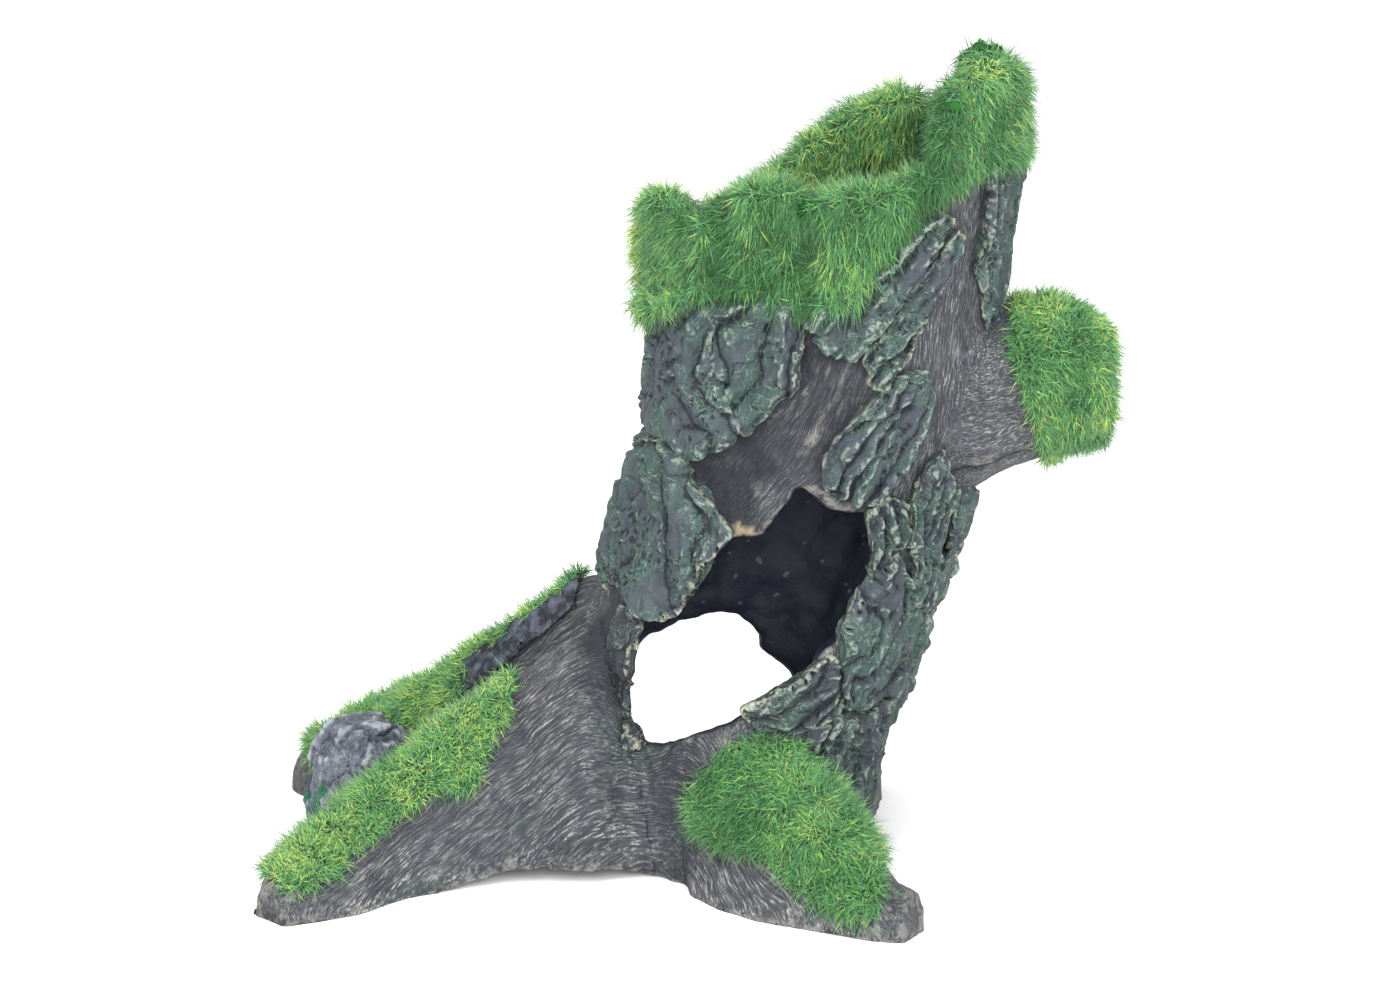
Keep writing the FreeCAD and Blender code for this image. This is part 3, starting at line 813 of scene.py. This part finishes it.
# Each slab: lean of its ridges from upright in degrees, positive to the right, their spacing,
# and how far its colour is darkened.
BARK_RIDGES = {
    "bark_crown_left": (2, 3.8, 0.10), "bark_crown_centre": (10, 6.0, 0.15),
    "bark_door_left": (3, 4.8, 0.05), "bark_door_post": (6, 3.5, 0.70),
    "bark_centre_upper": (44, 6.5, 0.15), "bark_centre_ridge": (40, 4.0, 0.10),
    "bark_centre_lower": (38, 4.0, 0.0), "bark_right_narrow": (8, 3.6, 0.10),
    "bark_right_outer": (14, 4.0, 0.15), "bark_door_upper_right": (8, 3.5, 0.35),
    "bark_door_right": (20, 10.0, 0.10), "bark_sill_right": (55, 6.0, 0.35),
    "bark_foot_right": (16, 7.0, 0.30), "bark_spire_right": (8, 4.0, 0.20),
    "bark_back_upper": (-12, 6.0, 0.10), "bark_back_middle": (-10, 5.0, 0.15),
    "bark_back_left": (-8, 6.0, 0.10), "bark_back_right": (-16, 6.0, 0.15),
}
BARK_SUNK = 1.8          # how far a slab's back reaches into the wood
BARK_GROWTH = 0.9        # how far its sides spread
RIDGE_LIFT = 2.5
CHIP_LIFT = 0.95
PIT_DEPTH = 0.6
DOME_LIFT = 1.1          # how far the middle stands over the rim
SIDE_PULL = 1.7          # slabs on the trunk's left side lie this much closer
SPIRE_PULL = 1.5         # and the one on the spire's right side this much


def bark_relief(points, lean, spacing, seed):
    """Height of the ridges, flakes and pits, the ridge valleys, the pits and the grain."""
    tilt = math.radians(lean)
    across = points @ np.array([math.cos(tilt), 0.6, -math.sin(tilt)])
    along = points @ np.array([math.sin(tilt), 0, math.cos(tilt)])
    flow = np.stack([across, points[:, 1] * 0.6, along], axis=1)
    bend = warp(points / 8, seed + 3)
    wander = layered(flow / (9.0, 14.0, 17.0), seed, 2)
    folds = np.abs(np.sin(math.pi * (across / spacing + 1.1 * wander))) ** 0.75
    strength = 0.45 + 0.75 * smoothstep(layered(flow / (9, 14, 20), seed + 2, 2), -0.3, 0.3)
    chips = layered(flow / (2.2, 4.0, 6.0) + 0.3 * bend, seed + 5, 3)
    flakes = 2.4 * layered(flow / (6.0, 12.0, 13.0) + 0.45 * bend, seed + 7, 3) + 9.5
    whole = np.floor(flakes)
    terrace = whole - 9.0 + smoothstep(flakes - whole, 0.0, 0.22)
    pits = smoothstep(layered(points / 0.9, seed + 15, 2), 0.15, 0.5)
    pits = pits * smoothstep(layered(points / 11, seed + 17, 2), 0.0, 0.3)
    lift = RIDGE_LIFT * strength * (folds - 0.55) + CHIP_LIFT * chips + terrace
    return lift - PIT_DEPTH * pits, smoothstep(folds, 0.35, 0.05) * strength, pits, flow


def bark_shape(name, lean, spacing, seed):
    """A thick, ridged and chipped plate of bark bedded in the trunk."""
    own_points, own_faces, _ = cad_arrays([name])
    points, quads = remeshed(own_points, own_faces, BARK_VOXEL)
    net = Net(quads, len(points))
    points = net.smooth(points, 5)
    depth = nearest(trunk_tree, points)[0]
    thick = np.percentile(depth, 97)
    level = smoothstep(depth, 0.15 * thick, 0.8 * thick)
    inward = net.smooth(level[:, None], 26, 0.9)[:, 0]
    rim = inward / np.percentile(inward[level > 0.8], 80)
    rim = smoothstep(rim, 0.82, 0.76) * smoothstep(level, 0.55, 0.85)
    out = trunk_outward(points)
    normal = normals_of(points, quads)
    plane = normal - out * (normal * out).sum(axis=1)[:, None]
    points = points + plane * BARK_GROWTH * smoothstep(depth, -0.5, 0.4)[:, None]
    lift, valley, pits, flow = bark_relief(points, lean, spacing, seed)
    lift = lift * min(1.0, thick / 2.8) - 0.45 * thick
    lift = lift + DOME_LIFT * smoothstep(inward, 0.84, 0.97)
    spire = smoothstep(out[:, 0], 0.5, 1.0) * smoothstep(points[:, 2], 105, 120)
    lift = lift - SIDE_PULL * smoothstep(-out[:, 0], 0.5, 1.0) - SPIRE_PULL * spire
    points = points + out * (level * lift - (1 - level) * BARK_SUNK)[:, None]
    ragged = warp(points / 2.8, seed + 19) * 0.8 + warp(points / 8, seed + 23) * 1.2
    points = points + ragged - out * (ragged * out).sum(axis=1)[:, None]
    points[:, 2] = np.maximum(points[:, 2], 0.0)
    # Valleys and pits lower the edge field, which paints shade into them.
    relief = relief_of(net, points, quads, 9) - (0.35 * valley + 0.3 * pits) * level
    return points, quads, {"flow": flow, "place": points.copy(), "edge": relief, "rim": rim}


def make_bark():
    """One piece per bark slab."""
    paint = bark_material()
    for number, (name, (lean, spacing, dark)) in enumerate(BARK_RIDGES.items()):
        points, quads, fields = bark_shape(name, lean, spacing, 200 + 40 * number)
        fields["dark"] = np.full(len(points), dark)
        piece = make_piece("slab_" + name, points, quads, [paint], fields)
        mount_piece(piece, name)


# ---------------------------------------------------------------- stone

def make_stone():
    """Chipped stone between the left roots, green low down."""
    own_points, own_faces, _ = cad_arrays(["root_stone"])
    points, quads = remeshed(own_points, own_faces, STONE_VOXEL)
    net = Net(quads, len(points))
    points = net.smooth(points, 4)
    normal = normals_of(points, quads)
    first, second, tilt = plates(points / (9.0, 9.0, 12.0) + 0.3 * warp(points / 8, 3), 41)
    chips = plates(points / 2.6, 47)[2]
    lift = 1.3 * tilt - 0.6 * smoothstep(second - first, 0.14, 0.0)
    lift = lift + 0.25 * chips + 0.6 * layered(points / 3, 51, 3)
    above = smoothstep(points[:, 2], 0.3, 3.0)
    points = points + normal * (lift * above)[:, None]
    points[:, 2] = np.maximum(points[:, 2], 0.0)
    height = points[:, 2] / (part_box("root_stone")[1].z / MM)
    green = smoothstep(layered(points / 6, 61, 3) - 0.9 * height + 0.25, 0.0, 0.25)
    fields = {"place": points.copy(), "edge": relief_of(net, points, quads, 9), "green": green}
    piece = make_piece("stone_root_stone", points, quads, [stone_material()], fields)
    mount_piece(piece, "root_stone")


# ---------------------------------------------------------------- moss

# Each mat: how many fibres, their length, how much they hang, the size of its lobes, how far
# its backing lies under the CAD skin, and how much paler its front-facing fibres are painted, as
# painted light.
MOSS = {
    "moss_crown_left": (12000, 4.7, 0.80, 12, 2.7, 0.10),
    "moss_crown_front": (26000, 5.3, 0.90, 13, 2.1, -0.10),
    "moss_crown_back": (26000, 5.0, 0.80, 13, 1.0, 1.60),
    "moss_spire": (24000, 4.5, 0.80, 14, 2.8, 0.15),
    "moss_branch": (18000, 4.1, 0.40, 11, 2.8, 0.30),
    "moss_root_front_left": (16000, 4.6, 0.25, 12, 2.0, 0.50),
    "moss_root_back_left": (13000, 4.6, 0.25, 12, 2.0, 0.25),
    "moss_root_front_right": (17000, 5.0, 0.35, 11, 2.0, -0.35),
}
FIBRE_WIDTH = 0.145
BENT_SHARE = 0.45        # share of the fibres that bend, the others being straight
FIBRE_RISE = 0.50        # how a fibre's direction is made up: off the mat,
CLUMP_LEAN = 0.95        # the same way as its neighbours,
STRAY_LEAN = 0.45        # and at random
TONE_STEPS = [-0.65, 0.15, 0.70, 1.00, 1.65]

# Furrows between the lobes: where, and how deep.
FURROW_WIDTH = 2.8
FURROWS = {
    "moss_crown_left": [(2.0, 3.0)],
    "moss_crown_front": [(7.0, 3.2), (16.5, 1.0), (26.0, 3.2), (52.5, 2.4)],
    "moss_crown_back": [(21.0, 1.4), (31.5, 2.2), (37.5, 1.6), (52.0, 3.0)],
    "moss_spire": [(54.0, 2.6), (67.0, 0.9)],
    "moss_branch": [(86.5, 2.0)],
}

# Upright strips of the back wall's inside with no moss: where, and how high they reach.
BARE_STRIPS = [(31.5, 155.0), (36.5, 154.0), (41.0, 162.0)]


def bare_strip(points):
    """1 in the narrow upright strips with no moss."""
    x = points[:, 0] + 0.6 * noise(points / 3, 5)
    bare = np.zeros(len(points))
    for where, top in BARE_STRIPS:
        strip = smoothstep(np.abs(x - where), 1.1, 0.6) * smoothstep(points[:, 2], top, top - 3)
        bare = np.maximum(bare, strip)
    return bare


def bare_flank(points):
    """1 on the front flank of the back left root, above its moss-covered foot."""
    crest = 18 - 0.42 * (points[:, 0] + 19) + 1.2 * noise(points / 4, 6)
    flank = smoothstep(points[:, 1] - crest, -1.0, -3.5)
    return flank * smoothstep(points[:, 0], -58, -50)


BARE = {"moss_crown_back": bare_strip, "moss_root_back_left": bare_flank}


def moss_mat(name, lobe, pull, seed, wood_tree):
    """Lumpy backing under the fibres, pulled in from the CAD mat's outer skin."""
    own_points, own_faces, _ = cad_arrays([name])
    points, quads = remeshed(own_points, own_faces, MAT_VOXEL)
    net = Net(quads, len(points))
    points = net.smooth(points, 6)
    normal = normals_of(points, quads)
    depth = nearest(wood_tree, points)[0]
    free = smoothstep(depth, 0.3, 2.5)
    lumps = 1.6 * layered(points / (lobe, lobe, lobe * 1.8), seed, 2)
    for where, deep in FURROWS.get(name, []):
        lumps = lumps - deep * np.exp(-((points[:, 0] - where) / FURROW_WIDTH) ** 2)
    lumps = lumps + 1.1 * layered(points / 4.2, seed + 3, 2)
    lift = free * (lumps - pull) - (1 - free) * 0.4
    lift = np.maximum(lift, np.minimum(0.6 - depth, -0.4))
    bare = np.zeros(len(points))
    if name in BARE:
        bare = BARE[name](points)
        lift = lift + bare * free * 2.6 * layered(points / (4.0, 4.0, 5.0), 85, 3)
    points = points + normal * lift[:, None]
    points[:, 2] = np.maximum(points[:, 2], 0.0)
    return points, quads, {"place": points.copy(), "bare": bare, "lumps": lumps}


def fibre_feet(points, quads, fields, count, rng, wood_tree):
    """Random feet on the mat wherever it is free: place, outward direction and quad."""
    corners = points[quads]
    across = np.cross(corners[:, 2] - corners[:, 0], corners[:, 3] - corners[:, 1])
    area = np.linalg.norm(across, axis=1)
    normal = across / np.maximum(area, 1e-9)[:, None]
    room = nearest(wood_tree, corners.mean(axis=1) + normal)[0]
    weight = area * (room > -0.1) * (1 - fields["bare"][quads[:, 0]])
    chosen = rng.choice(len(quads), count, p=weight / weight.sum())
    one, two = rng.random((2, count, 1))
    four = corners[chosen]
    root = ((1 - one) * (1 - two) * four[:, 0] + one * (1 - two) * four[:, 1]
            + one * two * four[:, 2] + (1 - one) * two * four[:, 3])
    return root, normal[chosen], chosen


def fibres(points, quads, fields, count, length, hang, pale, seed, wood_tree):
    """Tapered fibres standing on the mat: points, faces and tone of each face."""
    rng = np.random.default_rng(seed)
    root, up, chosen = fibre_feet(points, quads, fields, count, rng, wood_tree)
    down = np.array([0.0, 0.0, -1.0])
    slope = down - up * (up @ down)[:, None]
    way = FIBRE_RISE * up + hang * slope + CLUMP_LEAN * warp(root / 5.5, seed + 7)
    way += STRAY_LEAN * rng.normal(size=(count, 3))
    way /= np.linalg.norm(way, axis=1)[:, None]
    buried = (way * up).sum(axis=1) < 0.12
    way[buried] += up[buried] * 0.5
    way /= np.linalg.norm(way, axis=1)[:, None]
    size = length * (0.60 + 0.5 * rng.random(count)) * (1 + 0.18 * layered(root / 4, seed, 2))
    size = size[:, None]
    droop = slope * hang * 0.30 + down * 0.10 + 0.22 * rng.normal(size=(count, 3))
    side = np.cross(way, rng.normal(size=(count, 3)))
    side /= np.linalg.norm(side, axis=1)[:, None]
    other = np.cross(way, side)
    bent = np.arange(count) < BENT_SHARE * count
    droop[~bent] *= 0.5
    foot = needle_ring(root - 0.12 * size * way, side, other, 1.0)
    waist = needle_ring(root + size * (0.5 * way + 0.25 * droop), side, other, 0.8)
    tip = (root + size * (way + droop))[:, None]
    curved = np.concatenate([foot, waist, tip], axis=1)[bent]
    straight = np.concatenate([foot, tip], axis=1)[~bent]
    mood = layered(root / 5, seed + 29, 2) + 0.80 * rng.normal(size=count)
    # Painted shade in the mat's furrows, painted light on its lumps and on fibres facing up.
    mood = mood + 0.55 * fields["lumps"][quads[chosen, 0]] + 0.45 * np.maximum(up[:, 2], 0)
    # Painted light: fibres facing the front are paler by pale, and darker where it is negative.
    mood = mood + pale * smoothstep(-up[:, 1], -0.5, 0.3)
    faces = np.concatenate([needle_faces(curved, CURVED, 0),
                            needle_faces(straight, STRAIGHT, curved.size // 3)])
    verts = np.concatenate([curved.reshape(-1, 3), straight.reshape(-1, 3)])
    verts[:, 2] = np.maximum(verts[:, 2], 0.1)
    return verts, faces, fibre_slots(mood, bent)


def fibre_slots(mood, bent):
    """Material number of each face; a bent fibre's lower half is darker, as painted shade at its
    foot.
    """
    tone = 1 + np.searchsorted(TONE_STEPS, mood, side="right")
    # Lower halves take a darker tone: painted shade at the fibre's foot.
    lower = np.where(tone <= 3, tone - 1, 2)
    low_half = np.arange(len(CURVED)) < LOWER_FACES
    curved = np.where(low_half, lower[bent, None], tone[bent, None]).ravel()
    return np.concatenate([curved, np.repeat(tone[~bent], len(STRAIGHT))])


# Faces of one bent fibre, lower half first, and of one straight fibre.
CURVED = [(0, 2, 1), (0, 1, 4), (0, 4, 3), (1, 2, 5), (1, 5, 4), (2, 0, 3), (2, 3, 5),
          (3, 4, 6), (4, 5, 6), (5, 3, 6)]
LOWER_FACES = 7
STRAIGHT = [(0, 2, 1), (0, 1, 3), (1, 2, 3), (2, 0, 3)]


def needle_ring(centre, side, other, width):
    """Three points round each fibre."""
    turns = [2 * math.pi * turn / 3 for turn in range(3)]
    return np.stack([
        centre + FIBRE_WIDTH * width * (math.cos(turn) * side + math.sin(turn) * other)
        for turn in turns], axis=1)


def needle_faces(needles, pattern, start):
    """The pattern of faces repeated for every fibre."""
    steps = start + needles.shape[1] * np.arange(len(needles))
    return (np.array(pattern)[None] + steps[:, None, None]).reshape(-1, 3)


def make_moss(wood_points, wood_quads):
    """A backing and its fibres for every moss mat."""
    wood_tree = tree_of(wood_points, wood_quads)
    backing = mat_material()
    greens = fibre_materials()
    for number, (name, numbers) in enumerate(MOSS.items()):
        count, length, hang, lobe, pull, pale = numbers
        seed = 700 + 60 * number
        points, quads, fields = moss_mat(name, lobe, pull, seed, wood_tree)
        mat = make_piece("mat_" + name, points, quads, [backing], fields)
        mount_piece(mat, name)
        verts, faces, slots = fibres(points, quads, fields, count, length, hang, pale, seed,
                                     wood_tree)
        tufts = make_piece("fibres_" + name, verts, faces, greens, slots=slots)
        mount_piece(tufts, name)


# ---------------------------------------------------------------- stage

FLOOR_SIDE = 9.0
CAMERA_LENS = 105
CAMERA_SENSOR = 36
CAMERA_FAR = 0.900
CAMERA_TILT = math.radians(15.0)
CAMERA_AIM = (0.003, 0.0061, 0.085)   # right and forward of the CAD box's middle, and height


def make_floor():
    """Plain white floor."""
    half = FLOOR_SIDE / 2
    mesh = bpy.data.meshes.new("floor")
    mesh.from_pydata([(-half, -half, 0), (half, -half, 0), (half, half, 0), (-half, half, 0)],
                     [], [(0, 1, 2, 3)])
    floor = bpy.data.objects.new("floor", mesh)
    bpy.context.scene.collection.objects.link(floor)
    s = Shader("floor_white", roughness=0.9, specular=0.0)
    s.shader.inputs["Base Color"].default_value = (0.95, 0.95, 0.95, 1)
    mesh.materials.append(s.material)


# Square soft lights in metres and watts: place, height they point at, side and power.
LIGHTS = {
    "key": ((-0.55, -0.95, 1.05), 0.09, 0.8, 13),
    "front": ((0.1, -1.45, 0.55), 0.10, 0.8, 18),
    "fill": ((0.9, -0.9, 0.6), 0.09, 0.9, 6),
    "top": ((0.05, -0.45, 1.5), 0.12, 0.8, 7),
}


def make_light():
    """White studio world and four soft lights."""
    world = bpy.data.worlds.new("studio")
    world.use_nodes = True
    world.node_tree.nodes["Background"].inputs["Color"].default_value = (1, 1, 1, 1)
    world.node_tree.nodes["Background"].inputs["Strength"].default_value = 1.0
    bpy.context.scene.world = world
    for name, (place, aim, side, power) in LIGHTS.items():
        data = bpy.data.lights.new(name, "AREA")
        data.size = side
        data.energy = power
        lamp = bpy.data.objects.new(name, data)
        lamp.location = place
        way = Vector((0, 0, aim)) - Vector(place)
        lamp.rotation_euler = way.to_track_quat("-Z", "Y").to_euler()
        bpy.context.scene.collection.objects.link(lamp)
    bpy.context.scene.view_settings.view_transform = "Standard"


def make_camera():
    """Upright camera in front, tilted slightly down at the middle of the ornament."""
    low, high = cad_box
    right, forward, height = CAMERA_AIM
    target = Vector(((low.x + high.x) / 2 + right, (low.y + high.y) / 2 - forward, height))
    away = Vector((0, -math.cos(CAMERA_TILT), math.sin(CAMERA_TILT))) * CAMERA_FAR
    data = bpy.data.cameras.new("camera")
    data.lens = CAMERA_LENS
    data.sensor_width = CAMERA_SENSOR
    data.clip_start = 0.01
    camera = bpy.data.objects.new("camera", data)
    camera.location = target + away
    camera.rotation_euler = (-away).to_track_quat("-Z", "Y").to_euler()
    bpy.context.scene.collection.objects.link(camera)
    bpy.context.scene.camera = camera


make_camera()
make_light()
make_floor()
surface, surface_quads = make_wood()
make_bark()
make_stone()
make_moss(surface, surface_quads)
